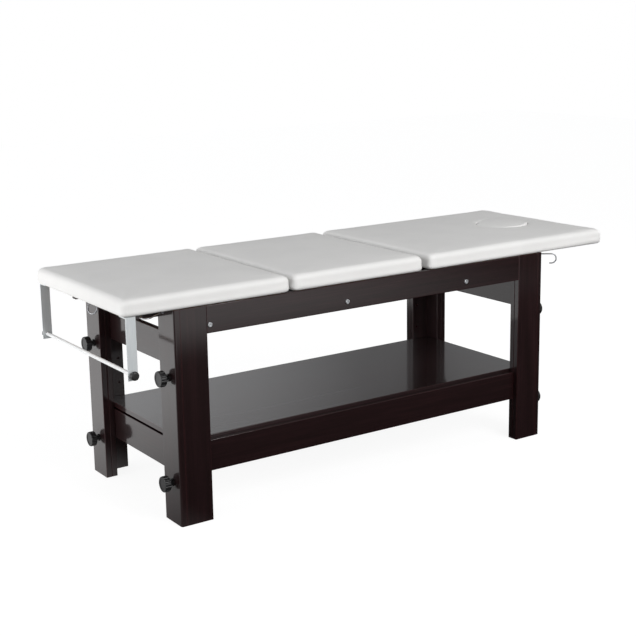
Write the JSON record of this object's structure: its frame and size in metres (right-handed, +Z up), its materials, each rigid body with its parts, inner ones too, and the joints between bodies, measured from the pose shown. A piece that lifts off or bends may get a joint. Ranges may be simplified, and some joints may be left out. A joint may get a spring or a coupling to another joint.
{
  "type": "massage table",
  "caption": "Three-section upholstered massage table on a dark wooden frame with a shelf, telescoping posts, clamp knobs, hooks and a paper-roll rod.",
  "frame": {"origin": "on the floor, at the centre of the table", "axes": "+X from the foot end to the head end, +Z up, -Y towards the side nearer the camera"},
  "size_m": [1.964, 0.6732, 0.7493],
  "materials": {
    "wood_dark": "dark lacquer, gloss",
    "wood_pale": "bare birch ply and beech",
    "vinyl": "off-white upholstery vinyl over foam",
    "steel": "plated, satin",
    "strap_metal": "satin",
    "rod_white": "white powder coat",
    "black_plastic": "satin"
  },
  "bodies": {
    "base": {"inner_post_foot_near": "wood_dark", "inner_post_foot_far": "wood_dark", "inner_post_head_near": "wood_dark", "inner_post_head_far": "wood_dark", "low_rail_near": "wood_dark", "low_rail_far": "wood_dark", "low_cross_rail_foot": "wood_dark", "low_cross_rail_head": "wood_dark", "high_cross_rail_foot": "wood_dark", "high_cross_rail_head": "wood_dark", "shelf_panel": "wood_dark", "shelf_bearers": "wood_dark", "cross_rail_screws": "steel", "low_rail_dowels": "wood_pale"},
    "upper_frame": {"outer_post_foot_near": "wood_dark", "outer_post_foot_far": "wood_dark", "outer_post_head_near": "wood_dark", "outer_post_head_far": "wood_dark", "top_rail_near": "wood_dark", "top_rail_far": "wood_dark", "cross_bar_foot": "wood_dark", "cross_bar_seat": "wood_dark", "cross_bar_head": "wood_dark", "prop_bar": "wood_dark", "rail_bolts": "steel", "barrel_nuts": "steel", "top_rail_dowels": "wood_pale", "captive_nuts": "steel", "coat_hooks": "steel", "seat_board": "wood_pale", "seat_pad": "vinyl", "seat_battens": "wood_dark", "hinge_leaves_foot_fixed": "steel", "hinge_leaves_head_fixed": "steel", "hinge_pins": "steel", "stay_brackets": "steel"},
    "foot_section": {"foot_board": "wood_pale", "foot_pad": "vinyl", "foot_battens": "wood_dark", "roll_strap_near": "strap_metal", "roll_strap_far": "strap_metal", "hinge_leaves_foot_moving": "steel", "prop_brackets": "steel"},
    "foot_prop": {"foot_prop": "steel"},
    "head_section": {"head_board": "wood_pale", "head_pad": "vinyl", "head_battens": "wood_dark", "hinge_leaves_head_moving": "steel"},
    "head_stay": {"head_stay": "steel"},
    "face_plug": {"face_plug": "vinyl"},
    "roll_rod": {"roll_rod": "rod_white", "roll_caps": "black_plastic"},
    "knob_foot_near_high": {"knob_foot_near_high": "black_plastic"},
    "knob_foot_near_low": {"knob_foot_near_low": "black_plastic"},
    "knob_foot_far_high": {"knob_foot_far_high": "black_plastic"},
    "knob_foot_far_low": {"knob_foot_far_low": "black_plastic"},
    "knob_head_near_high": {"knob_head_near_high": "black_plastic"},
    "knob_head_near_low": {"knob_head_near_low": "black_plastic"},
    "knob_head_far_high": {"knob_head_far_high": "black_plastic"},
    "knob_head_far_low": {"knob_head_far_low": "black_plastic"}
  },
  "joints": [
    {"name": "height_slide", "type": "slide", "parent": "base", "child": "upper_frame", "axis": [0, 0, 1], "range_m": [0, 0.18]},
    {"name": "foot_tilt", "type": "hinge", "parent": "upper_frame", "child": "foot_section", "pos_m": [-0.394, 0, 0.706], "axis": [0, 1, 0], "range_deg": [0, 25]},
    {"name": "foot_prop_swing", "type": "hinge", "parent": "foot_section", "child": "foot_prop", "pos_m": [-0.534, 0, 0.6343], "axis": [0, -1, 0], "range_deg": [0, 75.1]},
    {"name": "head_tilt", "type": "hinge", "parent": "upper_frame", "child": "head_section", "pos_m": [0.1399, 0, 0.706], "axis": [0, -1, 0], "range_deg": [0, 70]},
    {"name": "head_stay_swing", "type": "hinge", "parent": "upper_frame", "child": "head_stay", "pos_m": [0.354, 0, 0.6323], "axis": [0, -1, 0], "range_deg": [0, 102.3]},
    {"name": "face_plug_lift", "type": "slide", "parent": "head_section", "child": "face_plug", "axis": [0, 0, 1], "range_m": [0, 0.1]},
    {"name": "roll_rod_turn", "type": "hinge", "parent": "foot_section", "child": "roll_rod", "pos_m": [-0.954, 0, 0.5083], "axis": [0, 1, 0], "continuous": true},
    {"name": "knob_foot_near_high_turn", "type": "hinge", "parent": "upper_frame", "child": "knob_foot_near_high", "pos_m": [-0.813, -0.267, 0.465], "axis": [-1, 0, 0], "continuous": true},
    {"name": "knob_foot_near_low_turn", "type": "hinge", "parent": "upper_frame", "child": "knob_foot_near_low", "pos_m": [-0.813, -0.267, 0.131], "axis": [-1, 0, 0], "continuous": true},
    {"name": "knob_foot_far_high_turn", "type": "hinge", "parent": "upper_frame", "child": "knob_foot_far_high", "pos_m": [-0.813, 0.267, 0.465], "axis": [-1, 0, 0], "continuous": true},
    {"name": "knob_foot_far_low_turn", "type": "hinge", "parent": "upper_frame", "child": "knob_foot_far_low", "pos_m": [-0.813, 0.267, 0.131], "axis": [-1, 0, 0], "continuous": true},
    {"name": "knob_head_near_high_turn", "type": "hinge", "parent": "upper_frame", "child": "knob_head_near_high", "pos_m": [0.682, -0.267, 0.465], "axis": [1, 0, 0], "continuous": true},
    {"name": "knob_head_near_low_turn", "type": "hinge", "parent": "upper_frame", "child": "knob_head_near_low", "pos_m": [0.682, -0.267, 0.131], "axis": [1, 0, 0], "continuous": true},
    {"name": "knob_head_far_high_turn", "type": "hinge", "parent": "upper_frame", "child": "knob_head_far_high", "pos_m": [0.682, 0.267, 0.465], "axis": [1, 0, 0], "continuous": true},
    {"name": "knob_head_far_low_turn", "type": "hinge", "parent": "upper_frame", "child": "knob_head_far_low", "pos_m": [0.682, 0.267, 0.131], "axis": [1, 0, 0], "continuous": true}
  ],
  "couplings": [
    {"joint": "foot_prop_swing", "follows": "foot_tilt", "ratio": 3},
    {"joint": "head_stay_swing", "follows": "head_tilt", "ratio": 1.4601}
  ]
}
